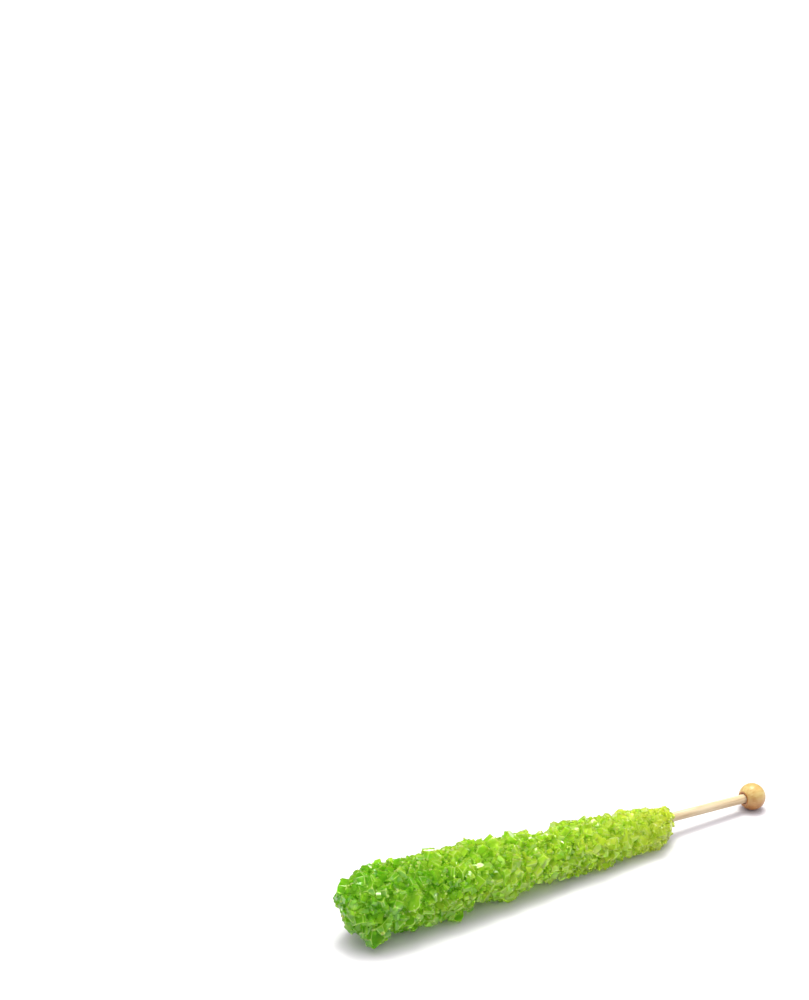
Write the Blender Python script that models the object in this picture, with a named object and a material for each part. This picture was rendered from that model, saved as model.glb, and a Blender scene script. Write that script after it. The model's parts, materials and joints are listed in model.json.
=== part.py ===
"""A rock candy stick lying on its side: sugar crystals grown on a wooden dowel that ends in a turned ball.

Metres, +Z up. +X runs from the candy to the ball, and the origin is at the middle of the underside.
"""

import math
import random

import bmesh
import bpy
from mathutils import Matrix, Vector

# Driving sizes
TOTAL_LENGTH = 0.1725
BALL_DIAMETER = 0.0095
DOWEL_DIAMETER = 0.0032
BARE_DOWEL = 0.0330  # from the ball's surface to the first crystals
CANDY_RADIUS_STICK_END = 0.0070
CANDY_RADIUS_FAR_END = 0.0105
LEAN = math.radians(3.0)  # the thick end of the candy is higher than the ball

# Fits
GAP = 0.0003
BALL_FLAT = 0.00012  # how much the ball is flattened where it rests
SOCKET_DEPTH = 0.0062
SOCKET_MOUTH_DIAMETER = 0.0050
SOCKET_MOUTH_DEPTH = 0.0008
DOWEL_COVER = 0.009  # sugar past the dowel's hidden end

# The crystals
CRYSTAL_COUNT = 262
CRYSTAL_LENGTH = (0.0050, 0.0068)
CRYSTAL_WIDTH = (0.0030, 0.0047)
CRYSTAL_TURN = math.radians(24.0)  # how far a crystal leans from straight outwards
CRYSTAL_UNEVEN = 0.0007
CORE_DEPTH = 0.0026  # from the crystals' tips down to the solid sugar between them
FLOOR_PRESS = 0.00025  # how much the lowest crystals are flattened
SEED = 11

BALL_RADIUS = BALL_DIAMETER / 2
DOWEL_RADIUS = DOWEL_DIAMETER / 2
BORE_RADIUS = DOWEL_RADIUS + GAP
CANDY_START = BALL_RADIUS + BARE_DOWEL
CANDY_END = TOTAL_LENGTH - BALL_RADIUS
CANDY_LENGTH = CANDY_END - CANDY_START
GOLDEN_ANGLE = math.pi * (3 - math.sqrt(5))

# Clusters and hollows on the candy: distance from its stick end, angle from the top towards -Y in degrees,
# height and spread
CLUSTERS = (
    (0.0045, -30, -0.0016, 0.0050),
    (0.0075, 150, 0.0010, 0.0040),
    (0.0325, 150, 0.0006, 0.0040),
    (0.0422, -30, 0.0008, 0.0050),
    (0.0522, -30, -0.0012, 0.0050),
    (0.0575, 150, -0.0013, 0.0060),
    (0.0705, 150, 0.0014, 0.0045),
    (0.0825, 150, -0.0020, 0.0050),
    (0.0940, 150, 0.0016, 0.0050),
    (0.0825, -30, 0.0012, 0.0070),
    (0.1085, 150, 0.0010, 0.0070),
    (0.1225, 150, 0.0026, 0.0046),
    (0.1247, 190, 0.0008, 0.0058),
    (0.0232, -120, 0.0014, 0.0060),
    (0.0582, -100, -0.0010, 0.0070),
    (0.0932, -90, 0.0012, 0.0060),
)

# The largest crystals: distance from the stick end, angle, radius of the tip, length and width
LARGEST = (
    (0.0065, 152, 0.0090, 0.0060, 0.0044),
    (0.0330, 150, 0.0108, 0.0066, 0.0048),
    (0.0700, 150, 0.0128, 0.0068, 0.0050),
    (0.0927, 152, 0.0140, 0.0072, 0.0052),
    (0.1237, 143, 0.0136, 0.0100, 0.0046),
    (0.1267, 190, 0.0094, 0.0078, 0.0048),
)


def clear_scene():
    for obj in list(bpy.data.objects):
        bpy.data.objects.remove(obj, do_unlink=True)


def make_material(name, colour, roughness):
    material = bpy.data.materials.new(name)
    material.use_nodes = True
    shader = material.node_tree.nodes["Principled BSDF"]
    shader.inputs["Base Color"].default_value = (*colour, 1.0)
    shader.inputs["Roughness"].default_value = roughness
    shader.inputs["Metallic"].default_value = 0.0
    return material


def object_from(bm, name, material=None, parent=None):
    mesh = bpy.data.meshes.new(name)
    bm.to_mesh(mesh)
    bm.free()
    obj = bpy.data.objects.new(name, mesh)
    bpy.context.scene.collection.objects.link(obj)
    if material:
        mesh.materials.append(material)
    if parent:
        obj.parent = parent
    return obj


def as_cutter(obj):
    obj.hide_render = True
    obj.display_type = "WIRE"
    return obj


def cut(obj, cutter):
    modifier = obj.modifiers.new("cut_" + cutter.name, "BOOLEAN")
    modifier.operation = "DIFFERENCE"
    modifier.solver = "EXACT"
    modifier.object = cutter


def apply_modifiers(obj):
    bpy.context.view_layer.update()
    evaluated = obj.evaluated_get(bpy.context.evaluated_depsgraph_get())
    mesh = bpy.data.meshes.new_from_object(evaluated)
    obj.modifiers.clear()
    obj.data = mesh


def rod(radius, near, far, segments=24):
    """A cylinder along -X between two distances from the ball's centre."""
    bm = bmesh.new()
    place = Matrix.Translation((-(near + far) / 2, 0, 0)) @ Matrix.Rotation(math.pi / 2, 4, "Y")
    bmesh.ops.create_cone(
        bm, cap_ends=True, segments=segments, radius1=radius, radius2=radius, depth=far - near, matrix=place
    )
    return bm


def smooth_step(x):
    x = min(max(x, 0.0), 1.0)
    return x * x * (3 - 2 * x)


def rounded(distance, reach, first):
    """Rises from first to 1 over reach, as the quarter of an ellipse."""
    x = min(max(distance / reach, 0.0), 1.0)
    return first + (1 - first) * math.sqrt(1 - (1 - x) ** 2)


def tip_radius(along):
    """The candy's radius out to the crystals' tips."""
    share = (along - CANDY_START) / CANDY_LENGTH
    radius = CANDY_RADIUS_STICK_END + (CANDY_RADIUS_FAR_END - CANDY_RADIUS_STICK_END) * smooth_step(share * 1.15)
    return radius * rounded(along - CANDY_START, 0.014, 0.34) * rounded(CANDY_END - along, 0.012, 0.0)


def candy_centre(along):
    """The candy grew more on one side of the dowel: its middle, as (y, z) from the dowel's axis."""
    share = (along - CANDY_START) / CANDY_LENGTH
    grown = smooth_step((along - CANDY_START) / 0.012)
    return -(0.0024 + 0.0004 * share) * grown, -0.0003 * grown


def cluster_height(along, angle):
    height = 0.0
    for distance, degrees, amount, spread in CLUSTERS:
        at = CANDY_START + distance
        turn = (angle - math.radians(degrees) + math.pi) % (2 * math.pi) - math.pi
        apart = math.hypot(along - at, turn * tip_radius(at))
        height += amount * math.exp(-((apart / spread) ** 2))
    return height


def candy_point(along, angle, radius):
    """A point of the candy. The angle runs from the top towards -Y."""
    y, z = candy_centre(along)
    return Vector((-along, y - radius * math.sin(angle), z + radius * math.cos(angle)))


def core():
    """The solid sugar below the crystals: a drum whose rings follow the candy's shape."""
    sides, rings = 16, 30
    bm = bmesh.new()
    bmesh.ops.create_cone(bm, cap_ends=True, segments=sides, radius1=1.0, radius2=1.0, depth=1.0)
    lengthwise = [edge for edge in bm.edges if abs(edge.verts[0].co.z - edge.verts[1].co.z) > 0.5]
    bmesh.ops.subdivide_edges(bm, edges=lengthwise, cuts=rings)
    for vertex in bm.verts:
        share = vertex.co.z + 0.5
        angle = math.atan2(-vertex.co.y, vertex.co.x)
        along = CANDY_START + 0.0004 + (CANDY_LENGTH - 0.0034) * (1 - math.cos(math.pi * share)) / 2
        radius = tip_radius(along) + cluster_height(along, angle) - CORE_DEPTH * smooth_step(share * 12 + 0.15)
        vertex.co = candy_point(along, angle, max(radius, BORE_RADIUS + 0.0007))
    bmesh.ops.recalc_face_normals(bm, faces=bm.faces)
    return bm


def crystal(rng, length, width, depth):
    """A block with a roof of two or three slanting faces, as sugar grows. Its tip points to +Z at the origin."""
    bm = bmesh.new()
    bmesh.ops.create_cube(bm, size=1.0, matrix=Matrix.Diagonal((width, depth, length, 1.0)))
    for side in (-1, 1):
        slant = math.radians(rng.uniform(38, 62))
        normal = Vector((side * math.sin(slant), rng.uniform(-0.25, 0.25), math.cos(slant))).normalized()
        chop(bm, Vector((side * width * rng.uniform(0.05, 0.22), 0, length / 2)), normal)
    bmesh.ops.translate(bm, vec=(0, 0, -length / 2), verts=bm.verts)
    return bm


def chop(bm, point, normal):
    """Cuts a convex body flat and closes the cut."""
    made = bmesh.ops.bisect_plane(
        bm, geom=[*bm.verts, *bm.edges, *bm.faces], plane_co=point, plane_no=normal, clear_outer=True
    )
    rim = [piece for piece in made["geom_cut"] if isinstance(piece, bmesh.types.BMEdge)]
    if rim:
        bmesh.ops.edgeloop_fill(bm, edges=rim)
    bmesh.ops.recalc_face_normals(bm, faces=bm.faces)


def even_spots(count):
    """Spreads spots evenly over the candy: equal areas along it, the golden angle round it."""
    steps = 400
    edges = [CANDY_START + CANDY_LENGTH * i / steps for i in range(steps + 1)]
    areas = [0.0]
    for near, far in zip(edges, edges[1:]):
        slope = math.hypot(far - near, tip_radius(far) - tip_radius(near))
        areas.append(areas[-1] + slope * (tip_radius(near) + tip_radius(far)) / 2)
    step = 0
    for i in range(count):
        wanted = areas[-1] * (i + 0.5) / count
        while areas[step + 1] < wanted:
            step += 1
        part = (wanted - areas[step]) / (areas[step + 1] - areas[step])
        yield edges[step] + (edges[step + 1] - edges[step]) * part, (i * GOLDEN_ANGLE) % (2 * math.pi)


def outwards(along, angle):
    """The direction straight out of the candy's surface."""
    near, far = max(along - 0.001, CANDY_START), min(along + 0.001, CANDY_END)
    slope = (tip_radius(far) - tip_radius(near)) / (far - near)
    return Vector((slope, -math.sin(angle), math.cos(angle))).normalized()


def grown_crystal(rng, along, angle, radius, length, width, leaning):
    """One crystal with its tip at this place of the candy, in the dowel's own axes."""
    body = crystal(rng, length, width, width * rng.uniform(0.7, 1.0))
    turn = Matrix.Rotation(rng.uniform(0, 2 * math.pi), 4, "Z")
    tip_x = Matrix.Rotation(rng.gauss(0, 1) * leaning, 4, "X")
    tip_y = Matrix.Rotation(rng.gauss(0, 1) * leaning, 4, "Y")
    aim = outwards(along, angle).to_track_quat("Z", "Y").to_matrix().to_4x4()
    place = Matrix.Translation(candy_point(along, angle, radius)) @ aim @ tip_x @ tip_y @ turn
    bmesh.ops.transform(body, matrix=place, verts=body.verts)
    return body


def all_crystals():
    """The largest crystals, then the others, spread evenly and each a little different."""
    rng = random.Random(SEED)
    for distance, degrees, radius, length, width in LARGEST:
        yield grown_crystal(rng, CANDY_START + distance, math.radians(degrees), radius, length, width, 0.12)
    for along, angle in even_spots(CRYSTAL_COUNT):
        along += rng.uniform(-0.0012, 0.0012)
        along = min(max(along, CANDY_START + 0.0028), CANDY_END - 0.0002)
        angle += rng.uniform(-0.12, 0.12)
        small = 0.72 + 0.28 * smooth_step((along - CANDY_START) / 0.02)
        length = rng.uniform(*CRYSTAL_LENGTH) * small
        width = rng.uniform(*CRYSTAL_WIDTH) * small
        radius = tip_radius(along) + cluster_height(along, angle) + rng.uniform(-1, 1) * CRYSTAL_UNEVEN
        yield grown_crystal(rng, along, angle, radius, length, width, CRYSTAL_TURN)


def lift_off_floor(bm, axes):
    """Pushes a crystal in until it is pressed on the floor by no more than FLOOR_PRESS."""
    lowest = min((axes @ vertex.co).z for vertex in bm.verts)
    if lowest < -FLOOR_PRESS:
        up = axes.to_3x3().inverted() @ Vector((0, 0, -FLOOR_PRESS - lowest))
        bmesh.ops.translate(bm, vec=up, verts=bm.verts)


def keep_main_body(obj):
    """Drops the loose scraps and the walls of sealed hollows."""
    bm = bmesh.new()
    bm.from_mesh(obj.data)
    left = set(bm.verts)
    bodies = []
    while left:
        found = {left.pop()}
        to_visit = list(found)
        while to_visit:
            vertex = to_visit.pop()
            for edge in vertex.link_edges:
                other = edge.other_vert(vertex)
                if other not in found:
                    found.add(other)
                    to_visit.append(other)
        left -= found
        bodies.append(found)
    main = max(bodies, key=len)
    bmesh.ops.delete(bm, geom=[v for body in bodies if body is not main for v in body], context="VERTS")
    bm.to_mesh(obj.data)
    bm.free()


def make_candy(axes, bore, floor):
    sugar = make_material("green_sugar_crystal", (0.33, 0.60, 0.045), 0.25)
    candy = object_from(core(), "candy", sugar, axes)
    bpy.context.view_layer.update()
    pieces = bpy.data.collections.new("crystals")
    bpy.context.scene.collection.children.link(pieces)
    for i, body in enumerate(all_crystals()):
        lift_off_floor(body, axes.matrix_world)
        mesh = bpy.data.meshes.new("crystal_%03d" % i)
        body.to_mesh(mesh)
        body.free()
        piece = bpy.data.objects.new(mesh.name, mesh)
        piece.parent = axes
        pieces.objects.link(piece)
    union = candy.modifiers.new("grown_together", "BOOLEAN")
    union.operation = "UNION"
    union.solver = "EXACT"
    union.operand_type = "COLLECTION"
    union.collection = pieces
    apply_modifiers(candy)
    for piece in list(pieces.objects):
        bpy.data.objects.remove(piece, do_unlink=True)
    bpy.data.collections.remove(pieces)
    cut(candy, bore)
    cut(candy, floor)
    apply_modifiers(candy)
    keep_main_body(candy)
    return candy


def make_dowel(axes):
    wood = make_material("birch_dowel", (0.84, 0.68, 0.47), 0.55)
    near = BALL_RADIUS - SOCKET_DEPTH + GAP
    dowel = object_from(rod(DOWEL_RADIUS, near, CANDY_END - DOWEL_COVER, 28), "dowel", wood, axes)
    bevel = dowel.modifiers.new("eased_ends", "BEVEL")
    bevel.width = 0.0002
    bevel.segments = 2
    bevel.limit_method = "ANGLE"
    bevel.angle_limit = math.radians(60)
    dowel.data.shade_smooth()
    dowel.data.set_sharp_from_angle(angle=math.radians(40))
    return dowel


def socket():
    """The cutter of the ball's hole: a drilled bore whose mouth opens wider, turned about the dowel's axis."""
    bottom = -(BALL_RADIUS - SOCKET_DEPTH)
    mouth = -BALL_RADIUS + SOCKET_MOUTH_DEPTH
    past = -BALL_RADIUS - 0.001
    wide = SOCKET_MOUTH_DIAMETER / 2
    outline = (
        (bottom, 0.0),
        (bottom, BORE_RADIUS),
        (mouth, BORE_RADIUS),
        (mouth - 0.0005, wide * 0.92),
        (past, wide * 1.08),
        (past, 0.0),
    )
    bm = bmesh.new()
    points = [bm.verts.new((x, 0, radius)) for x, radius in outline]
    edges = [bm.edges.new(pair) for pair in zip(points, points[1:])]
    bmesh.ops.spin(
        bm, geom=points + edges, cent=(0, 0, 0), axis=(1, 0, 0), angle=2 * math.pi, steps=28, use_merge=True
    )
    bmesh.ops.remove_doubles(bm, verts=bm.verts, dist=1e-6)
    bmesh.ops.recalc_face_normals(bm, faces=bm.faces)
    return bm


def make_ball(axes, floor):
    wood = make_material("varnished_ball", (0.80, 0.56, 0.25), 0.4)
    bm = bmesh.new()
    quarter_turn = Matrix.Rotation(math.pi / 2, 4, "Y")
    bmesh.ops.create_uvsphere(bm, u_segments=28, v_segments=16, radius=BALL_RADIUS, matrix=quarter_turn)
    ball = object_from(bm, "ball", wood, axes)
    cut(ball, as_cutter(object_from(socket(), "ball_socket", parent=axes)))
    cut(ball, floor)
    ball.data.shade_smooth()
    ball.data.set_sharp_from_angle(angle=math.radians(35))
    return ball


def make_floor_cutter():
    bm = bmesh.new()
    thick = 0.02
    size = Matrix.Diagonal((TOTAL_LENGTH * 1.4, 0.08, thick, 1.0))
    bmesh.ops.create_cube(bm, size=1.0, matrix=Matrix.Translation((0, 0, -thick / 2)) @ size)
    return as_cutter(object_from(bm, "floor_cut"))


def centre_on_origin(axes, pieces):
    """Moves the stick sideways until the middle of its box is over the origin."""
    bpy.context.view_layer.update()
    corners = []
    graph = bpy.context.evaluated_depsgraph_get()
    for piece in pieces:
        evaluated = piece.evaluated_get(graph)
        corners += [evaluated.matrix_world @ vertex.co for vertex in evaluated.data.vertices]
    for side in range(2):
        values = [corner[side] for corner in corners]
        axes.location[side] -= (min(values) + max(values)) / 2


def main():
    clear_scene()
    axes = bpy.data.objects.new("stick_axis", None)
    axes.location = (TOTAL_LENGTH / 2 - BALL_RADIUS, 0, BALL_RADIUS - BALL_FLAT)
    axes.rotation_euler = (0, LEAN, 0)
    bpy.context.scene.collection.objects.link(axes)
    bpy.context.view_layer.update()
    floor = make_floor_cutter()
    bore_cutter = rod(BORE_RADIUS, CANDY_START - 0.006, CANDY_END - DOWEL_COVER + GAP, 28)
    bore = as_cutter(object_from(bore_cutter, "candy_bore", parent=axes))
    candy = make_candy(axes, bore, floor)
    dowel = make_dowel(axes)
    ball = make_ball(axes, floor)
    centre_on_origin(axes, (candy, dowel, ball))


main()
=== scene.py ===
"""The looks of a rock candy stick: a birch dowel with a turned ball, and green sugar grown on it.

Metres, +Z up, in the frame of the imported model. +X runs from the candy to the ball.
"""

import json
import math
import random

import bmesh
import bpy
from mathutils import Matrix, Vector, noise

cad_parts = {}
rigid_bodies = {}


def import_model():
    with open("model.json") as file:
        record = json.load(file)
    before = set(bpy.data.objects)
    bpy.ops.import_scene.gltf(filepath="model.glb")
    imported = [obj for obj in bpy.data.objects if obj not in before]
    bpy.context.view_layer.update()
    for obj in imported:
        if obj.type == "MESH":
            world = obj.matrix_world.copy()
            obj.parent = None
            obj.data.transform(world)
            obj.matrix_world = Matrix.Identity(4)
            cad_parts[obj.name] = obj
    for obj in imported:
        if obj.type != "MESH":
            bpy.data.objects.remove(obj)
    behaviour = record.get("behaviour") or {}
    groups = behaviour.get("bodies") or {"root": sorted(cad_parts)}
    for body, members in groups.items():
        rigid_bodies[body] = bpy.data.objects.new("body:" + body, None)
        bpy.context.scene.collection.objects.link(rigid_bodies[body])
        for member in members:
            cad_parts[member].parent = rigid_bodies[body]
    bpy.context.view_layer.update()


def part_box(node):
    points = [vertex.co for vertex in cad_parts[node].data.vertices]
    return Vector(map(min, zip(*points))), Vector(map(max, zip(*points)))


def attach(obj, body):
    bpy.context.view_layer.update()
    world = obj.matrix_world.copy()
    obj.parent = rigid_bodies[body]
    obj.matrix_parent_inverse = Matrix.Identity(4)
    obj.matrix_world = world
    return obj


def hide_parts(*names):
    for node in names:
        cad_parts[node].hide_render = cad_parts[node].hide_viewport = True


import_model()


# The dowel: a 1/8 in birch stick, pushed through a die, so it has fine grooves along the grain and is not
# quite round. It is bare wood with eased ends. One end is glued in the ball, the other is deep in the sugar.
BALL_RADIUS = 0.00475
BALL_FLAT = 0.00012  # how much the ball is flattened where it rests
DOWEL_RADIUS = 0.0016
DOWEL_NEAR_END = -0.00115  # along the stick from the ball's middle towards the candy
DOWEL_FAR_END = 0.15875
DOWEL_SIDES = 40
DOWEL_RINGS = 78
DOWEL_GROOVE = 0.000022  # how deep the grooves are
GROOVES_ACROSS = 1800  # noise cells in a metre across the grain
GROOVES_ALONG = 60
DOWEL_EASING = 0.00025
DOWEL_SHARP = math.radians(50)
LEAN = math.radians(3.0)  # the thick end of the candy is higher than the ball

ball_low, ball_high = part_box("ball")
ball_middle = Vector(
    (ball_high[0] - BALL_RADIUS * math.cos(LEAN), (ball_low[1] + ball_high[1]) / 2, BALL_RADIUS - BALL_FLAT)
)
stick_axes = Matrix.Translation(ball_middle) @ Matrix.Rotation(LEAN, 4, "Y")


def from_hex(code):
    """An sRGB hex colour as linear values."""
    parts = [int(code[i : i + 2], 16) / 255 for i in (0, 2, 4)]
    return [*(part / 12.92 if part <= 0.04045 else ((part + 0.055) / 1.055) ** 2.4 for part in parts), 1.0]


def add_node(material, kind, settings=None, links=None):
    """Adds a node to a material or the world, with its settings and links by the names of its inputs."""
    tree = material.node_tree
    node = tree.nodes.new("ShaderNode" + kind)
    for name, value in (settings or {}).items():
        if name == "stops":
            while len(node.color_ramp.elements) < len(value):
                node.color_ramp.elements.new(1.0)
            for element, (position, colour) in zip(node.color_ramp.elements, value):
                element.position = position
                element.color = colour
        elif isinstance(name, str) and hasattr(node, name):
            setattr(node, name, value)
        else:
            node.inputs[name].default_value = value
    for name, source in (links or {}).items():
        tree.links.new(source, node.inputs[name])
    return node


def new_material(name):
    """An empty material, to be filled with nodes."""
    material = bpy.data.materials.new(name)
    material.use_nodes = True
    material.node_tree.nodes.clear()
    return material


def stick_coordinates(material, size):
    """Object coordinates in the stick's axes, in cells of this size: along the stick, then across."""
    place = add_node(material, "TexCoord")
    settings = {
        "vector_type": "TEXTURE",
        "Location": ball_middle,
        "Rotation": (0, LEAN, 0),
        "Scale": size,
    }
    return add_node(material, "Mapping", settings, {"Vector": place.outputs["Object"]}).outputs["Vector"]


def place_piece(name, bm, material):
    """A finished piece: the mesh is put in its place on the stick, and its object stays at the origin."""
    bmesh.ops.transform(bm, matrix=stick_axes, verts=bm.verts)
    mesh = bpy.data.meshes.new(name)
    bm.to_mesh(mesh)
    bm.free()
    mesh.materials.append(material)
    piece = bpy.data.objects.new(name, mesh)
    bpy.context.scene.collection.objects.link(piece)
    return piece


def lay_along_stick(near, far):
    """Turns a shape made round +Z to lie along the stick, between two distances from the ball's middle."""
    return Matrix.Translation((-(near + far) / 2, 0, 0)) @ Matrix.Rotation(math.pi / 2, 4, "Y")


# Bare birch: pale cream with straight, slightly darker fibres about 0.35 mm wide and 11 mm long, matt.
birch = new_material("bare_birch_sanded")
fibres = add_node(
    birch,
    "TexNoise",
    {"Scale": 1.0, "Detail": 3.0, "Roughness": 0.6},
    {"Vector": stick_coordinates(birch, (0.011, 0.00035, 0.00035))},
)
bands = add_node(
    birch,
    "TexNoise",
    {"Scale": 1.0, "Detail": 2.0},
    {"Vector": stick_coordinates(birch, (0.030, 0.0016, 0.0016))},
)
fibre_colour = add_node(
    birch,
    "ValToRGB",
    {"stops": [(0.30, from_hex("A8947A")), (0.48, from_hex("BDAF97")), (0.75, from_hex("C8BEAB"))]},
    {"Fac": fibres.outputs["Fac"]},
)
band_colour = add_node(
    birch,
    "ValToRGB",
    {"stops": [(0.35, from_hex("EACBA2")), (0.65, from_hex("FFF6E8"))]},
    {"Fac": bands.outputs["Fac"]},
)
birch_colour = add_node(
    birch,
    "Mix",
    {"data_type": "RGBA", "blend_type": "MULTIPLY", 0: 0.55},
    {6: fibre_colour.outputs["Color"], 7: band_colour.outputs["Color"]},
)
birch_bump = add_node(
    birch, "Bump", {"Strength": 0.35, "Distance": 0.00008}, {"Height": fibres.outputs["Fac"]}
)
birch_rough = add_node(
    birch, "MapRange", {"To Min": 0.62, "To Max": 0.48}, {"Value": fibres.outputs["Fac"]}
)
birch_shader = add_node(
    birch,
    "BsdfPrincipled",
    {"IOR": 1.45},
    {
        "Base Color": birch_colour.outputs[2],
        "Roughness": birch_rough.outputs["Result"],
        "Normal": birch_bump.outputs["Normal"],
    },
)
add_node(birch, "OutputMaterial", None, {"Surface": birch_shader.outputs["BSDF"]})

bm = bmesh.new()
bmesh.ops.create_cone(
    bm,
    cap_ends=True,
    segments=DOWEL_SIDES,
    radius1=DOWEL_RADIUS,
    radius2=DOWEL_RADIUS,
    depth=DOWEL_FAR_END - DOWEL_NEAR_END,
)
end_rims = [edge for edge in bm.edges if abs(edge.verts[0].co.z - edge.verts[1].co.z) < DOWEL_RADIUS]
bmesh.ops.bevel(
    bm,
    geom=end_rims,
    offset=DOWEL_EASING,
    segments=3,
    profile=0.5,
    affect="EDGES",
    material=-1,
    clamp_overlap=True,
)
lengthwise = [edge for edge in bm.edges if abs(edge.verts[0].co.z - edge.verts[1].co.z) > DOWEL_RADIUS]
bmesh.ops.subdivide_edges(bm, edges=lengthwise, cuts=DOWEL_RINGS)
for vertex in bm.verts:
    x, y, z = vertex.co
    groove = noise.noise(Vector((x * GROOVES_ACROSS, y * GROOVES_ACROSS, z * GROOVES_ALONG)))
    vertex.co += Vector((x, y, 0)).normalized() * DOWEL_GROOVE * groove
bmesh.ops.transform(bm, matrix=lay_along_stick(DOWEL_NEAR_END, DOWEL_FAR_END), verts=bm.verts)
bmesh.ops.recalc_face_normals(bm, faces=bm.faces)
dowel = place_piece("birch_dowel", bm, birch)
dowel.data.shade_smooth()
dowel.data.set_sharp_from_angle(angle=DOWEL_SHARP)
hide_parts("dowel")
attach(dowel, "root")


# The ball: 3/8 in birch, turned on a lathe, drilled along the grain and tumbled in clear varnish, which gives
# it a honey colour and a soft shine. The hole's mouth opens wider than the dowel, and it is dark inside.
SOCKET_RADIUS = 0.0019
SOCKET_BOTTOM = 0.00145  # past the ball's middle
MOUTH_RADIUS = 0.00255
MOUTH_BOTTOM = -0.00395
RIM_EASING = (0.00005, 0.00007)  # along the stick, and across it
BALL_ARC_STEPS = 30
BALL_TURN_STEPS = 64
BALL_SHARP = math.radians(35)
SAME_POINT = 0.000001

# Varnished birch: honey-coloured, with a grain about 0.7 mm wide and broader warm bands, and a soft shine.
varnished = new_material("varnished_turned_birch")
grain = add_node(
    varnished,
    "TexNoise",
    {"Scale": 1.0, "Detail": 3.0, "Distortion": 0.3},
    {"Vector": stick_coordinates(varnished, (0.009, 0.0007, 0.0007))},
)
growth = add_node(
    varnished,
    "TexNoise",
    {"Scale": 1.0, "Detail": 1.0},
    {"Vector": stick_coordinates(varnished, (0.012, 0.0035, 0.0035))},
)
honey = add_node(
    varnished,
    "ValToRGB",
    {"stops": [(0.28, from_hex("AC9460")), (0.50, from_hex("B8A878")), (0.72, from_hex("C0B68E"))]},
    {"Fac": grain.outputs["Fac"]},
)
warm = add_node(
    varnished,
    "ValToRGB",
    {"stops": [(0.35, from_hex("F0C88C")), (0.65, from_hex("FFF4DC"))]},
    {"Fac": growth.outputs["Fac"]},
)
ball_colour = add_node(
    varnished,
    "Mix",
    {"data_type": "RGBA", "blend_type": "MULTIPLY", 0: 0.6},
    {6: honey.outputs["Color"], 7: warm.outputs["Color"]},
)
# Painted shade: the ball is painted a deeper orange towards its underside, as if shaded from the light above.
ball_place = add_node(
    varnished, "SeparateXYZ", None, {"Vector": stick_coordinates(varnished, (1.0, 1.0, 1.0))}
)
ball_height = add_node(
    varnished,
    "MapRange",
    {"From Min": -BALL_RADIUS, "From Max": BALL_RADIUS},
    {"Value": ball_place.outputs["Z"]},
)
underside_painted_shade = add_node(
    varnished,
    "ValToRGB",
    {"stops": [(0.12, from_hex("D6964E")), (0.80, from_hex("FFFAF0"))]},
    {"Fac": ball_height.outputs["Result"]},
)
shaded_ball_colour = add_node(
    varnished,
    "Mix",
    {"data_type": "RGBA", "blend_type": "MULTIPLY", 0: 1.0},
    {6: ball_colour.outputs[2], 7: underside_painted_shade.outputs["Color"]},
)
# Painted brown inside the mouth: partly end grain that drinks the varnish, partly painted shade in the hole.
in_mouth = add_node(varnished, "Attribute", {"attribute_name": "in_mouth"})
mouth_grain_and_shade = add_node(
    varnished,
    "Mix",
    {"data_type": "RGBA", 7: from_hex("A8682C")},
    {0: in_mouth.outputs["Fac"], 6: shaded_ball_colour.outputs[2]},
)
ball_bump = add_node(
    varnished, "Bump", {"Strength": 0.12, "Distance": 0.00006}, {"Height": grain.outputs["Fac"]}
)
ball_rough = add_node(
    varnished, "MapRange", {"To Min": 0.42, "To Max": 0.30}, {"Value": grain.outputs["Fac"]}
)
ball_shader = add_node(
    varnished,
    "BsdfPrincipled",
    {"IOR": 1.5, "Coat Weight": 0.25, "Coat Roughness": 0.28},
    {
        "Base Color": mouth_grain_and_shade.outputs[2],
        "Roughness": ball_rough.outputs["Result"],
        "Normal": ball_bump.outputs["Normal"],
    },
)
add_node(varnished, "OutputMaterial", None, {"Surface": ball_shader.outputs["BSDF"]})

mouth_angle = math.pi - math.asin(MOUTH_RADIUS / BALL_RADIUS)
arc = [mouth_angle * i / BALL_ARC_STEPS for i in range(BALL_ARC_STEPS + 1)]
outline = [(BALL_RADIUS * math.cos(turn), BALL_RADIUS * math.sin(turn)) for turn in arc]
outline += [
    (outline[-1][0] + RIM_EASING[0], MOUTH_RADIUS - RIM_EASING[1]),
    (MOUTH_BOTTOM, SOCKET_RADIUS),
    (SOCKET_BOTTOM, SOCKET_RADIUS),
    (SOCKET_BOTTOM, 0.0),
]
bm = bmesh.new()
points = [bm.verts.new((x, 0, radius)) for x, radius in outline]
profile = [bm.edges.new(pair) for pair in zip(points, points[1:])]
bmesh.ops.spin(
    bm,
    geom=points + profile,
    cent=(0, 0, 0),
    axis=(1, 0, 0),
    angle=2 * math.pi,
    steps=BALL_TURN_STEPS,
    use_merge=True,
)
bmesh.ops.remove_doubles(bm, verts=bm.verts, dist=SAME_POINT)
bmesh.ops.recalc_face_normals(bm, faces=bm.faces)
mouth_layer = bm.verts.layers.float.new("in_mouth")
for vertex in bm.verts:
    across = math.hypot(vertex.co.y, vertex.co.z)
    in_hole = across < MOUTH_RADIUS - RIM_EASING[1] / 2 and vertex.co.x < BALL_RADIUS / 2
    vertex[mouth_layer] = 1.0 if in_hole else 0.0
ball = place_piece("turned_ball", bm, varnished)
for vertex in ball.data.vertices:
    vertex.co.z = max(vertex.co.z, 0.0)
ball.data.shade_smooth()
ball.data.set_sharp_from_angle(angle=BALL_SHARP)
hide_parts("ball")
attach(ball, "root")


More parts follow.
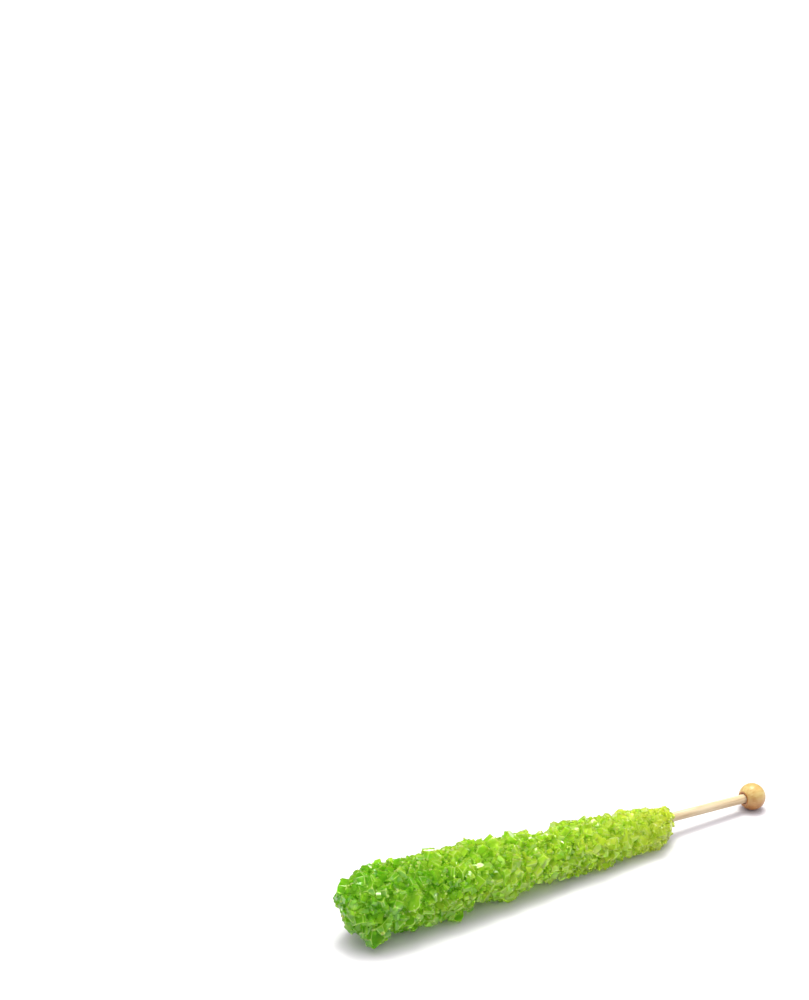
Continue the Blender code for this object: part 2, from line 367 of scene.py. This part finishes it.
# The candy: sugar that grew on the dowel out of green syrup over a week or so. Large blocky crystals stand
# on a solid core, smaller ones fill the grooves, and fine ones sit on their faces. All are fused together.
CANDY_START = 0.03775  # along the stick from the ball's middle
CANDY_END = 0.16775
CANDY_LENGTH = CANDY_END - CANDY_START
RADIUS_STICK_END = 0.0070
RADIUS_FAR_END = 0.0105
THICKENING = 1.15  # how soon the far end's radius is reached
STICK_END_ROUNDING = 0.014
STICK_END_FIRST = 0.34  # the share of the radius where the sugar starts
FAR_END_ROUNDING = 0.012
SHIFT_SIDEWAYS = 0.0024  # from the dowel's axis to the candy's middle
SHIFT_SIDEWAYS_MORE = 0.0004  # added by the far end
SHIFT_DOWN = 0.0003
SHIFT_REACH = 0.012
CORE_DEPTH = 0.0026  # from the large crystals' tips down to the solid sugar between them
CORE_SIDES = 16
CORE_RINGS = 30
CORE_INSET = 0.0004  # from where the sugar starts to the core's first ring
CORE_SHORTER = 0.0034  # than the candy
CORE_TONE = 0.4
CORE_WALL = 0.0010  # the least sugar round the dowel
FLOOR_PRESS = 0.00025  # how much the lowest crystals are flattened
ROOF_SLANT = (38, 62)  # degrees, of the two faces at a crystal's tip
ROOF_TURN = 0.25  # how far they turn about the crystal's length
ROOF_RIDGE = (0.05, 0.22)  # how far the roof's faces start from the middle, as a share of the width
LARGEST_LEANING = 0.12  # in radians, as the two turns below
LARGE_COUNT = 262
LARGE_LENGTH = (0.0050, 0.0068)
LARGE_WIDTH = (0.0030, 0.0047)
LARGE_DEPTH = (0.7, 1.0)  # as a share of the width
LARGE_LEANING = math.radians(24.0)
LARGE_STRAY = 0.0012  # from its even place
LARGE_STRAY_TURN = 0.12
LARGE_KEEP_IN = (0.0028, 0.0002)  # from the stick end, and from the far end
LARGE_UNEVEN = 0.0007
LARGE_SEED = 11
WORN_EDGE = 0.00020
UNEVEN = 0.00012  # how far the faces are from flat
UNEVEN_CELLS = 900  # noise cells in a metre
UNEVEN_SEED = 3
SMALL_COUNT = 2000
SMALL_LENGTH = (0.0022, 0.0038)
SMALL_WIDTH = (0.0011, 0.0024)
SMALL_THICKNESS = (0.65, 1.0)  # as a share of the width
SMALL_LEANING = math.radians(34.0)
SMALL_STRAY = 0.0008
SMALL_STRAY_TURN = 0.08
SMALL_KEEP_IN = 0.0004
SMALL_DEPTH = (-0.0003, 0.0017)  # below the large crystals' tips
SMALL_LEAST = 0.0006  # how far out of the wood a tip is at least
SMALL_SEED = 23
FINE_COUNT = 3600
FINE_WIDTH = (0.0004, 0.0014)  # most are near the first
FINE_LENGTH = 1.4  # as a share of the width
FINE_RAISED = 0.45  # how far a tip stands out of the face, as a share of the width
FINE_SPREAD = 0.95  # of the way from a face's middle to its corner
FINE_LEANING = math.radians(38.0)
FINE_OFF_FLOOR = 0.0009
FINE_KINDS = 32
FINE_SEED = 37
PAINTED_GLINT_KINDS = 14  # of the fine kinds, those painted a pale lime as painted glints
PAINTED_GLINT_WIDTH = 0.0009  # the widest of them
TONE_SEED = 5
THIN_END_MORE = 1.6  # how much denser the fine crystals are at the thin end
THIN_END_LENGTH = 0.030
THIN_END_FADE = 1.4  # of that length, where the denser part has ended
BORE_ROOM = 0.00002  # the sugar touches the wood
BORE_PAST_SUGAR = 0.006
FLOOR_CUT = (0.4, 0.2, 0.02)  # the block below the floor that cuts the sugar flat
CRYSTAL_SHARP = math.radians(38)
GOLDEN_ANGLE = math.pi * (3 - math.sqrt(5))

# Clusters and hollows: distance from the candy's stick end, angle from the top towards -Y in degrees, height
# and spread
CLUSTERS = (
    (0.0045, -30, -0.0016, 0.0050),
    (0.0075, 150, 0.0010, 0.0040),
    (0.0325, 150, 0.0006, 0.0040),
    (0.0422, -30, 0.0008, 0.0050),
    (0.0522, -30, -0.0012, 0.0050),
    (0.0575, 150, -0.0013, 0.0060),
    (0.0705, 150, 0.0014, 0.0045),
    (0.0825, 150, -0.0020, 0.0050),
    (0.0940, 150, 0.0016, 0.0050),
    (0.0825, -30, 0.0012, 0.0070),
    (0.1085, 150, 0.0010, 0.0070),
    (0.1225, 150, 0.0026, 0.0046),
    (0.1247, 190, 0.0008, 0.0058),
    (0.0232, -120, 0.0014, 0.0060),
    (0.0582, -100, -0.0010, 0.0070),
    (0.0932, -90, 0.0012, 0.0060),
)

# The largest crystals: distance from the stick end, angle, radius of the tip, length and width
LARGEST = (
    (0.0065, 152, 0.0090, 0.0060, 0.0044),
    (0.0330, 150, 0.0108, 0.0066, 0.0048),
    (0.0700, 150, 0.0128, 0.0068, 0.0050),
    (0.0927, 152, 0.0140, 0.0072, 0.0052),
    (0.1237, 143, 0.0136, 0.0100, 0.0046),
    (0.1267, 190, 0.0094, 0.0078, 0.0048),
)


def smooth_step(x):
    """Rises gently from 0 to 1."""
    x = min(max(x, 0.0), 1.0)
    return x * x * (3 - 2 * x)


def rounded(distance, reach, first):
    """Rises from first to 1 over reach, as the quarter of an ellipse."""
    x = min(max(distance / reach, 0.0), 1.0)
    return first + (1 - first) * math.sqrt(1 - (1 - x) ** 2)


def tip_radius(along):
    """The candy's radius out to the large crystals' tips."""
    share = (along - CANDY_START) / CANDY_LENGTH
    radius = RADIUS_STICK_END + (RADIUS_FAR_END - RADIUS_STICK_END) * smooth_step(share * THICKENING)
    start = rounded(along - CANDY_START, STICK_END_ROUNDING, STICK_END_FIRST)
    return radius * start * rounded(CANDY_END - along, FAR_END_ROUNDING, 0.0)


def candy_centre(along):
    """The candy grew more on one side of the dowel: its middle, as (y, z) from the dowel's axis."""
    share = (along - CANDY_START) / CANDY_LENGTH
    grown = smooth_step((along - CANDY_START) / SHIFT_REACH)
    return -(SHIFT_SIDEWAYS + SHIFT_SIDEWAYS_MORE * share) * grown, -SHIFT_DOWN * grown


def cluster_height(along, angle):
    """How much the clusters and hollows raise or lower the tips here."""
    height = 0.0
    for distance, degrees, amount, spread in CLUSTERS:
        at = CANDY_START + distance
        turn = (angle - math.radians(degrees) + math.pi) % (2 * math.pi) - math.pi
        apart = math.hypot(along - at, turn * tip_radius(at))
        height += amount * math.exp(-((apart / spread) ** 2))
    return height


def candy_point(along, angle, radius):
    """A point of the candy in the stick's axes. The angle runs from the top towards -Y."""
    y, z = candy_centre(along)
    return Vector((-along, y - radius * math.sin(angle), z + radius * math.cos(angle)))


def outwards(along, angle):
    """The direction straight out of the candy's surface."""
    near, far = max(along - 0.001, CANDY_START), min(along + 0.001, CANDY_END)
    slope = (tip_radius(far) - tip_radius(near)) / (far - near)
    return Vector((slope, -math.sin(angle), math.cos(angle))).normalized()


def sugar_core():
    """The solid sugar below the crystals: a drum whose rings follow the candy's shape."""
    bm = bmesh.new()
    bmesh.ops.create_cone(bm, cap_ends=True, segments=CORE_SIDES, radius1=1.0, radius2=1.0, depth=1.0)
    lengthwise = [edge for edge in bm.edges if abs(edge.verts[0].co.z - edge.verts[1].co.z) > 0.5]
    bmesh.ops.subdivide_edges(bm, edges=lengthwise, cuts=CORE_RINGS)
    for vertex in bm.verts:
        share = vertex.co.z + 0.5
        angle = math.atan2(-vertex.co.y, vertex.co.x)
        # The rings are closer together at both ends.
        along = CANDY_START + CORE_INSET + (CANDY_LENGTH - CORE_SHORTER) * (1 - math.cos(math.pi * share)) / 2
        below_tips = CORE_DEPTH * smooth_step(share * 12 + 0.15)
        radius = tip_radius(along) + cluster_height(along, angle) - below_tips
        vertex.co = candy_point(along, angle, max(radius, DOWEL_RADIUS + CORE_WALL))
    bmesh.ops.recalc_face_normals(bm, faces=bm.faces)
    return bm


def chop(bm, point, normal):
    """Cuts a convex body flat and closes the cut."""
    made = bmesh.ops.bisect_plane(
        bm, geom=[*bm.verts, *bm.edges, *bm.faces], plane_co=point, plane_no=normal, clear_outer=True
    )
    rim = [part for part in made["geom_cut"] if isinstance(part, bmesh.types.BMEdge)]
    if rim:
        bmesh.ops.edgeloop_fill(bm, edges=rim)
    bmesh.ops.recalc_face_normals(bm, faces=bm.faces)


def crystal(rng, length, width, depth):
    """A block with a roof of two slanting faces, as sugar grows. Its tip points to +Z at the origin."""
    bm = bmesh.new()
    bmesh.ops.create_cube(bm, size=1.0, matrix=Matrix.Diagonal((width, depth, length, 1.0)))
    for side in (-1, 1):
        slant = math.radians(rng.uniform(*ROOF_SLANT))
        turn = rng.uniform(-ROOF_TURN, ROOF_TURN)
        normal = Vector((side * math.sin(slant), turn, math.cos(slant))).normalized()
        chop(bm, Vector((side * width * rng.uniform(*ROOF_RIDGE), 0, length / 2)), normal)
    bmesh.ops.translate(bm, vec=(0, 0, -length / 2), verts=bm.verts)
    return bm


def stand_crystal(rng, body, along, angle, radius, leaning):
    """Turns a crystal about itself, leans it a little and puts its tip at this place of the candy."""
    turn = Matrix.Rotation(rng.uniform(0, 2 * math.pi), 4, "Z")
    tip_x = Matrix.Rotation(rng.gauss(0, 1) * leaning, 4, "X")
    tip_y = Matrix.Rotation(rng.gauss(0, 1) * leaning, 4, "Y")
    aim = outwards(along, angle).to_track_quat("Z", "Y").to_matrix().to_4x4()
    place = Matrix.Translation(candy_point(along, angle, radius)) @ aim @ tip_x @ tip_y @ turn
    bmesh.ops.transform(body, matrix=place, verts=body.verts)
    return body


def even_spots(count):
    """Spreads spots evenly over the candy: equal areas along it, the golden angle round it."""
    steps = 400
    edges = [CANDY_START + CANDY_LENGTH * i / steps for i in range(steps + 1)]
    areas = [0.0]
    for near, far in zip(edges, edges[1:]):
        slope = math.hypot(far - near, tip_radius(far) - tip_radius(near))
        areas.append(areas[-1] + slope * (tip_radius(near) + tip_radius(far)) / 2)
    step = 0
    for i in range(count):
        wanted = areas[-1] * (i + 0.5) / count
        while areas[step + 1] < wanted:
            step += 1
        part = (wanted - areas[step]) / (areas[step + 1] - areas[step])
        yield edges[step] + (edges[step + 1] - edges[step]) * part, (i * GOLDEN_ANGLE) % (2 * math.pi)


def large_crystals():
    """The crystals of the solid model, in the same places, with edges a little worn."""
    rng = random.Random(LARGE_SEED)
    for distance, degrees, radius, length, width in LARGEST:
        body = crystal(rng, length, width, width * rng.uniform(*LARGE_DEPTH))
        along, angle = CANDY_START + distance, math.radians(degrees)
        yield stand_crystal(rng, body, along, angle, radius, LARGEST_LEANING)
    for along, angle in even_spots(LARGE_COUNT):
        along += rng.uniform(-LARGE_STRAY, LARGE_STRAY)
        along = min(max(along, CANDY_START + LARGE_KEEP_IN[0]), CANDY_END - LARGE_KEEP_IN[1])
        angle += rng.uniform(-LARGE_STRAY_TURN, LARGE_STRAY_TURN)
        # They are smaller within 20 mm of the stick end.
        small = 0.72 + 0.28 * smooth_step((along - CANDY_START) / 0.02)
        length = rng.uniform(*LARGE_LENGTH) * small
        width = rng.uniform(*LARGE_WIDTH) * small
        radius = tip_radius(along) + cluster_height(along, angle) + rng.uniform(-1, 1) * LARGE_UNEVEN
        body = crystal(rng, length, width, width * rng.uniform(*LARGE_DEPTH))
        yield stand_crystal(rng, body, along, angle, radius, LARGE_LEANING)


def small_crystals():
    """The crystals that fill the grooves between the large ones and break up their faces."""
    rng = random.Random(SMALL_SEED)
    for along, angle in even_spots(SMALL_COUNT):
        along += rng.uniform(-SMALL_STRAY, SMALL_STRAY)
        along = min(max(along, CANDY_START + SMALL_KEEP_IN), CANDY_END - SMALL_KEEP_IN)
        angle += rng.uniform(-SMALL_STRAY_TURN, SMALL_STRAY_TURN)
        width = rng.uniform(*SMALL_WIDTH)
        near_end = smooth_step((along - CANDY_START) / 0.004)
        depth = rng.uniform(*SMALL_DEPTH) * (0.3 + 0.7 * near_end)
        radius = max(tip_radius(along) + cluster_height(along, angle) - depth, DOWEL_RADIUS + SMALL_LEAST)
        body = crystal(rng, rng.uniform(*SMALL_LENGTH), width, width * rng.uniform(*SMALL_THICKNESS))
        yield stand_crystal(rng, body, along, angle, radius, SMALL_LEANING)


def wear_edges(bm):
    """Takes the sharpness off a crystal's edges, and marks the narrow faces that this makes, which are
    painted paler.
    """
    layer = bm.faces.layers.float.new("worn")
    made = bmesh.ops.bevel(
        bm,
        geom=bm.edges[:],
        offset=WORN_EDGE,
        segments=1,
        profile=0.5,
        affect="EDGES",
        material=-1,
        clamp_overlap=True,
    )
    for face in made["faces"]:
        face[layer] = 1.0


def lift_off_floor(bm):
    """Pushes a crystal in until it is pressed on the floor by no more than FLOOR_PRESS."""
    lowest = min((stick_axes @ vertex.co).z for vertex in bm.verts)
    if lowest < -FLOOR_PRESS:
        up = stick_axes.to_3x3().inverted() @ Vector((0, 0, -FLOOR_PRESS - lowest))
        bmesh.ops.translate(bm, vec=up, verts=bm.verts)


def toned_mesh(name, bm, tone, clear=0.0):
    """A mesh with one tone and one share of painted glint for all its faces, which last when the pieces are
    joined.
    """
    for layer_name, value in (("tone", tone), ("clear", clear)):
        layer = bm.faces.layers.float.new(layer_name)
        for face in bm.faces:
            face[layer] = value
    mesh = bpy.data.meshes.new(name)
    bm.to_mesh(mesh)
    bm.free()
    return mesh


def boolean(body, operation, collection=None, cutter=None):
    """Joins a body with a collection or cuts it with one object, and removes what it used."""
    modifier = body.modifiers.new("grown", "BOOLEAN")
    modifier.operation = operation
    modifier.solver = "MANIFOLD"
    if collection:
        modifier.operand_type = "COLLECTION"
        modifier.collection = collection
    else:
        modifier.object = cutter
    bpy.context.view_layer.update()
    mesh = bpy.data.meshes.new_from_object(body.evaluated_get(bpy.context.evaluated_depsgraph_get()))
    body.modifiers.clear()
    body.data = mesh
    for done in list(collection.objects) if collection else [cutter]:
        bpy.data.objects.remove(done, do_unlink=True)
    if collection:
        bpy.data.collections.remove(collection)


def scratch_object(name, mesh, collection=None):
    """An object to build with, which doesn't stay in the scene."""
    obj = bpy.data.objects.new(name, mesh)
    (collection or bpy.context.scene.collection).objects.link(obj)
    return obj


def scratch_collection(name):
    """A collection for the crystals of one union."""
    collection = bpy.data.collections.new(name)
    bpy.context.scene.collection.children.link(collection)
    return collection


tones = random.Random(TONE_SEED)
candy = scratch_object("sugar_crystals", toned_mesh("sugar_core", sugar_core(), CORE_TONE))
crystals = scratch_collection("crystals")
for i, body in enumerate(large_crystals()):
    wear_edges(body)
    lift_off_floor(body)
    scratch_object("large_%03d" % i, toned_mesh("large_%03d" % i, body, tones.random()), crystals)
for i, body in enumerate(small_crystals()):
    lift_off_floor(body)
    scratch_object("small_%04d" % i, toned_mesh("small_%04d" % i, body, tones.random()), crystals)
boolean(candy, "UNION", collection=crystals)


def place_key(point):
    """A point's place to a micrometre, to sort by, so that no draw hangs on the order of a mesh's parts."""
    return [round(value * 1e6) for value in point]


# The finest crystals sit on the faces that the larger ones left open.
rng = random.Random(FINE_SEED)
fine_kinds = []
for i in range(FINE_KINDS):
    body = crystal(rng, FINE_LENGTH, 1.0, rng.uniform(*SMALL_THICKNESS))
    bmesh.ops.translate(body, vec=(0, 0, FINE_RAISED), verts=body.verts)
    fine_kinds.append(toned_mesh("fine_%02d" % i, body, tones.random(), 1.0 if i < PAINTED_GLINT_KINDS else 0.0))
grown = bmesh.new()
grown.from_mesh(candy.data)
open_faces = sorted(grown.faces, key=lambda face: place_key(face.calc_center_median()))
chances = []
for face in open_faces:
    from_start = -face.calc_center_median().x - CANDY_START
    near_start = smooth_step(THIN_END_FADE - from_start / THIN_END_LENGTH)
    chances.append(face.calc_area() * (1 + THIN_END_MORE * near_start))
seats = rng.choices(open_faces, weights=chances, k=FINE_COUNT)
crystals = scratch_collection("fine_crystals")
for i, seat in enumerate(seats):
    corners = sorted((vertex.co for vertex in seat.verts), key=place_key)
    corner = corners[int(rng.random() * len(corners))]
    spot = seat.calc_center_median().lerp(corner, math.sqrt(rng.random()) * FINE_SPREAD)
    aim = seat.normal.to_track_quat("Z", "Y").to_matrix().to_4x4()
    tip_x = Matrix.Rotation(rng.gauss(0, 1) * FINE_LEANING, 4, "X")
    tip_y = Matrix.Rotation(rng.gauss(0, 1) * FINE_LEANING, 4, "Y")
    turn = Matrix.Rotation(rng.uniform(0, 2 * math.pi), 4, "Z")
    kind = rng.choice(fine_kinds)
    widest = PAINTED_GLINT_WIDTH if kind in fine_kinds[:PAINTED_GLINT_KINDS] else FINE_WIDTH[1]
    size = Matrix.Scale(FINE_WIDTH[0] + (widest - FINE_WIDTH[0]) * rng.random() ** 3, 4)
    if (stick_axes @ spot).z < FINE_OFF_FLOOR:
        continue
    fine = scratch_object("fine_%04d" % i, kind, crystals)
    fine.matrix_world = Matrix.Translation(spot) @ aim @ tip_x @ tip_y @ turn @ size
grown.free()
boolean(candy, "UNION", collection=crystals)

# The dowel's bore, and the small flat spots that the candy rests on.
bm = bmesh.new()
bmesh.ops.create_cone(
    bm,
    cap_ends=True,
    segments=DOWEL_SIDES,
    radius1=DOWEL_RADIUS + BORE_ROOM,
    radius2=DOWEL_RADIUS + BORE_ROOM,
    depth=DOWEL_FAR_END + BORE_ROOM - CANDY_START + BORE_PAST_SUGAR,
    matrix=lay_along_stick(CANDY_START - BORE_PAST_SUGAR, DOWEL_FAR_END + BORE_ROOM),
)
boolean(candy, "DIFFERENCE", cutter=scratch_object("bore", toned_mesh("bore", bm, CORE_TONE)))
bm = bmesh.new()
below_floor = Matrix.Translation((0, 0, -FLOOR_CUT[2] / 2))
to_stick = stick_axes.inverted() @ below_floor @ Matrix.Diagonal((*FLOOR_CUT, 1.0))
bmesh.ops.create_cube(bm, size=1.0, matrix=to_stick)
boolean(candy, "DIFFERENCE", cutter=scratch_object("floor_cut", toned_mesh("floor_cut", bm, CORE_TONE)))


def keep_main_body(bm):
    """Drops loose scraps and the walls of sealed hollows."""
    left = set(bm.verts)
    bodies = []
    while left:
        found = {left.pop()}
        to_visit = list(found)
        while to_visit:
            vertex = to_visit.pop()
            for edge in vertex.link_edges:
                other = edge.other_vert(vertex)
                if other not in found:
                    found.add(other)
                    to_visit.append(other)
        left -= found
        bodies.append(found)
    main = max(bodies, key=len)
    bmesh.ops.delete(bm, geom=[v for body in bodies if body is not main for v in body], context="VERTS")


# How far out each point is, for painted groove shade: 0 at the bottom of the grooves, 1 at the tips.
bm = bmesh.new()
bm.from_mesh(candy.data)
bpy.data.objects.remove(candy, do_unlink=True)
keep_main_body(bm)
depth_layer = bm.verts.layers.float.new("height_out")
for vertex in bm.verts:
    along = min(max(-vertex.co.x, CANDY_START), CANDY_END)
    y, z = candy_centre(along)
    angle = math.atan2(-(vertex.co.y - y), vertex.co.z - z)
    radius = math.hypot(vertex.co.y - y, vertex.co.z - z)
    core_radius = tip_radius(along) + cluster_height(along, angle) - CORE_DEPTH
    vertex[depth_layer] = min(max((radius - core_radius) / CORE_DEPTH, 0.0), 1.0)
# The crystals' faces are a little uneven, but not on the floor or round the dowel.
noise.seed_set(UNEVEN_SEED)
for vertex in bm.verts:
    if (stick_axes @ vertex.co).z > 2 * UNEVEN and math.hypot(vertex.co.y, vertex.co.z) > 2 * DOWEL_RADIUS:
        vertex.co += noise.noise_vector(vertex.co * UNEVEN_CELLS) * UNEVEN

# Green sugar crystal, grown from syrup: glossy flat faces with sharp glints, and light that soaks in, goes
# partly through and comes out again greener. Yellower at the thin end, a deeper green at the thick end, and
# each crystal a little lighter or darker than the next.
sugar = new_material("green_sugar_crystal_grown")
stick_place = add_node(sugar, "SeparateXYZ", None, {"Vector": stick_coordinates(sugar, (1.0, 1.0, 1.0))})
along_share = add_node(
    sugar,
    "MapRange",
    {"From Min": -CANDY_END, "From Max": -CANDY_START},
    {"Value": stick_place.outputs["X"]},
)
mottles = add_node(
    sugar,
    "TexNoise",
    {"Scale": 1.0, "Detail": 2.0, "Roughness": 0.55},
    {"Vector": stick_coordinates(sugar, (0.008, 0.006, 0.006))},
)
along_mottled = add_node(
    sugar,
    "MapRange",
    {"From Min": 0.3, "From Max": 0.7, "To Min": -0.22, "To Max": 0.22, "clamp": False},
    {"Value": mottles.outputs["Fac"]},
)
along_sum = add_node(
    sugar,
    "Math",
    {"operation": "ADD"},
    {0: along_share.outputs["Result"], 1: along_mottled.outputs["Result"]},
)
syrup_green = add_node(
    sugar,
    "ValToRGB",
    {
        "stops": [
            (0.0, from_hex("7CC026")),
            (0.22, from_hex("A8DE3C")),
            (0.50, from_hex("C8EE4A")),
            (0.75, from_hex("D4F250")),
            (1.0, from_hex("F2FC64")),
        ]
    },
    {"Fac": along_sum.outputs[0]},
)
tone = add_node(sugar, "Attribute", {"attribute_name": "tone"})
tone_colour = add_node(
    sugar,
    "ValToRGB",
    {"stops": [(0.0, from_hex("BFE0A0")), (0.5, from_hex("F2F8E4")), (1.0, from_hex("FFFFEE"))]},
    {"Fac": tone.outputs["Fac"]},
)
toned_green = add_node(
    sugar,
    "Mix",
    {"data_type": "RGBA", "blend_type": "MULTIPLY", 0: 0.45},
    {6: syrup_green.outputs["Color"], 7: tone_colour.outputs["Color"]},
)
# Painted shade: the grooves between the crystals are painted darker green, and the tips lighter, as if lit.
height_out = add_node(sugar, "Attribute", {"attribute_name": "height_out"})
groove_painted_shade = add_node(
    sugar,
    "ValToRGB",
    {"stops": [(0.0, from_hex("A8D880")), (0.55, from_hex("F0F8DC")), (1.0, from_hex("FFFFF0"))]},
    {"Fac": height_out.outputs["Fac"]},
)
sugar_colour = add_node(
    sugar,
    "Mix",
    {"data_type": "RGBA", "blend_type": "MULTIPLY", 0: 0.6},
    {6: toned_green.outputs[2], 7: groove_painted_shade.outputs["Color"]},
)
# Painted reflections of inner faces and cracks in the sugar: angular patches 1.2 to 1.5 mm wide, lighter and
# darker.
inner_reflection_cells = add_node(
    sugar,
    "TexVoronoi",
    {"Scale": 1.0, "Randomness": 1.0},
    {"Vector": stick_coordinates(sugar, (0.0015, 0.0012, 0.0012))},
)
inner_value = add_node(sugar, "SeparateXYZ", None, {"Vector": inner_reflection_cells.outputs["Color"]})
painted_inner_reflections = add_node(
    sugar,
    "ValToRGB",
    {
        "stops": [
            (0.0, from_hex("C4E898")),
            (0.35, from_hex("E8F6CC")),
            (0.8, from_hex("FFFFE8")),
            (1.0, from_hex("FFFFF0")),
        ]
    },
    {"Fac": inner_value.outputs["X"]},
)
faceted_colour = add_node(
    sugar,
    "Mix",
    {"data_type": "RGBA", "blend_type": "MULTIPLY", 0: 0.5},
    {6: sugar_colour.outputs[2], 7: painted_inner_reflections.outputs["Color"]},
)
# Painted highlights: the large crystals' worn edges are painted paler, and the glint crystals a pale lime.
worn = add_node(sugar, "Attribute", {"attribute_name": "worn"})
edge_highlight_share = add_node(sugar, "Math", {"operation": "MULTIPLY", 1: 0.4}, {0: worn.outputs["Fac"]})
edge_highlight_colour = add_node(
    sugar,
    "Mix",
    {"data_type": "RGBA", 7: from_hex("E8F68C")},
    {0: edge_highlight_share.outputs[0], 6: faceted_colour.outputs[2]},
)
# Growth steps about 0.6 mm apart make the faces slightly uneven in gloss.
growth_steps = add_node(
    sugar,
    "TexNoise",
    {"Scale": 1.0, "Detail": 3.0, "Roughness": 0.6},
    {"Vector": stick_coordinates(sugar, (0.0006, 0.0006, 0.0006))},
)
# Painted highlights: the glint crystals are painted a pale lime, so that they show as small bright specks.
clear = add_node(sugar, "Attribute", {"attribute_name": "clear"})
painted_glint_share = add_node(sugar, "Math", {"operation": "MULTIPLY", 1: 0.75}, {0: clear.outputs["Fac"]})
glint_painted_colour = add_node(
    sugar,
    "Mix",
    {"data_type": "RGBA", 7: from_hex("F6FF90")},
    {0: painted_glint_share.outputs[0], 6: edge_highlight_colour.outputs[2]},
)
sugar_rough = add_node(
    sugar, "MapRange", {"To Min": 0.05, "To Max": 0.18}, {"Value": growth_steps.outputs["Fac"]}
)
sugar_bump = add_node(
    sugar, "Bump", {"Strength": 0.3, "Distance": 0.00006}, {"Height": growth_steps.outputs["Fac"]}
)
sugar_shader = add_node(
    sugar,
    "BsdfPrincipled",
    {
        "IOR": 1.54,
        "Transmission Weight": 0.7,
        "Subsurface Weight": 1.0,
        "Subsurface Radius": (0.9, 1.0, 0.4),
        "Subsurface Scale": 0.004,
    },
    {
        "Base Color": glint_painted_colour.outputs[2],
        "Roughness": sugar_rough.outputs["Result"],
        "Normal": sugar_bump.outputs["Normal"],
    },
)
add_node(sugar, "OutputMaterial", None, {"Surface": sugar_shader.outputs["BSDF"]})

candy = place_piece("sugar_crystals", bm, sugar)
candy.data.shade_smooth()
candy.data.set_sharp_from_angle(angle=CRYSTAL_SHARP)
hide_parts("candy")
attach(candy, "root")


# The stage: a floor of pale matt paper in a white room that is lighter overhead, as in a light tent. Glossy
# faces don't see the room, because its reflection would veil the sugar with white.
FLOOR_SIZE = 10.0

# Matt paper: even, faintly clouded and without shine, so that only soft shadows show on it.
paper = new_material("white_matt_paper")
paper_grain = add_node(paper, "TexNoise", {"Scale": 400.0, "Detail": 2.0})
paper_colour = add_node(
    paper,
    "ValToRGB",
    {"stops": [(0.0, from_hex("BEBABF")), (1.0, from_hex("C3BFC4"))]},
    {"Fac": paper_grain.outputs["Fac"]},
)
paper_shader = add_node(
    paper,
    "BsdfPrincipled",
    {"Roughness": 0.9, "Specular IOR Level": 0.1},
    {"Base Color": paper_colour.outputs["Color"]},
)
add_node(paper, "OutputMaterial", None, {"Surface": paper_shader.outputs["BSDF"]})
bm = bmesh.new()
bmesh.ops.create_grid(bm, x_segments=1, y_segments=1, size=FLOOR_SIZE)
mesh = bpy.data.meshes.new("floor")
bm.to_mesh(mesh)
bm.free()
mesh.materials.append(paper)
floor = bpy.data.objects.new("floor", mesh)
bpy.context.scene.collection.objects.link(floor)

WALL_LIGHT = 1.0
CEILING_LIGHT = 1.5
world = bpy.data.worlds.new("white_room")
world.use_nodes = True
world.node_tree.nodes.clear()
room = add_node(world, "TexCoord")
room_height = add_node(world, "SeparateXYZ", None, {"Vector": room.outputs["Generated"]})
room_light = add_node(
    world, "MapRange", {"To Min": WALL_LIGHT, "To Max": CEILING_LIGHT}, {"Value": room_height.outputs["Z"]}
)
room_shader = add_node(
    world, "Background", {"Color": (1.0, 1.0, 1.0, 1.0)}, {"Strength": room_light.outputs["Result"]}
)
add_node(world, "OutputWorld", None, {"Surface": room_shader.outputs["Background"]})
bpy.context.scene.world = world
world.cycles_visibility.glossy = False


def direction(azimuth, elevation):
    """A unit vector from the scene to this side. Azimuth 0 is at -Y and 90 at +X."""
    a, e = math.radians(azimuth), math.radians(elevation)
    return Vector((math.sin(a) * math.cos(e), -math.cos(a) * math.cos(e), math.sin(e)))


# A wide soft light overhead, and a weak narrow one that gives the flat faces their glints: strength, colour,
# width and direction.
LAMPS = {
    "soft_key": (3.0, (1.0, 1.0, 1.0), math.radians(50.0), direction(150, 77)),
    "sparkle": (2.0, (0.88, 1.0, 0.80), math.radians(18.0), direction(150, 74)),
}
for name, (strength, colour, width, towards) in LAMPS.items():
    sun = bpy.data.lights.new(name, "SUN")
    sun.energy = strength
    sun.angle = width
    sun.color = colour
    sun_object = bpy.data.objects.new(name, sun)
    sun_object.rotation_mode = "QUATERNION"
    sun_object.rotation_quaternion = towards.to_track_quat("Z", "Y")
    sun_object.visible_glossy = name == "sparkle"
    bpy.context.scene.collection.objects.link(sun_object)

# The camera stands where the photograph was taken from.
CAMERA_FROM_BALL = Vector((-0.43467, -0.47142, 0.32785))
CAMERA_AZIMUTH = -31.71
CAMERA_ELEVATION = 19.08
camera_data = bpy.data.cameras.new("camera")
camera_data.lens = 72.0
camera_data.sensor_width = 36.0
camera = bpy.data.objects.new("camera", camera_data)
back = direction(CAMERA_AZIMUTH, CAMERA_ELEVATION)
right = Vector((math.cos(math.radians(CAMERA_AZIMUTH)), math.sin(math.radians(CAMERA_AZIMUTH)), 0))
turned = Matrix((right, back.cross(right), back)).transposed().to_4x4()
camera.matrix_world = Matrix.Translation(ball_middle + CAMERA_FROM_BALL) @ turned
camera_data.clip_start = 0.01
camera_data.clip_end = 50.0
bpy.context.scene.collection.objects.link(camera)
bpy.context.scene.camera = camera
bpy.context.scene.view_settings.view_transform = "Standard"
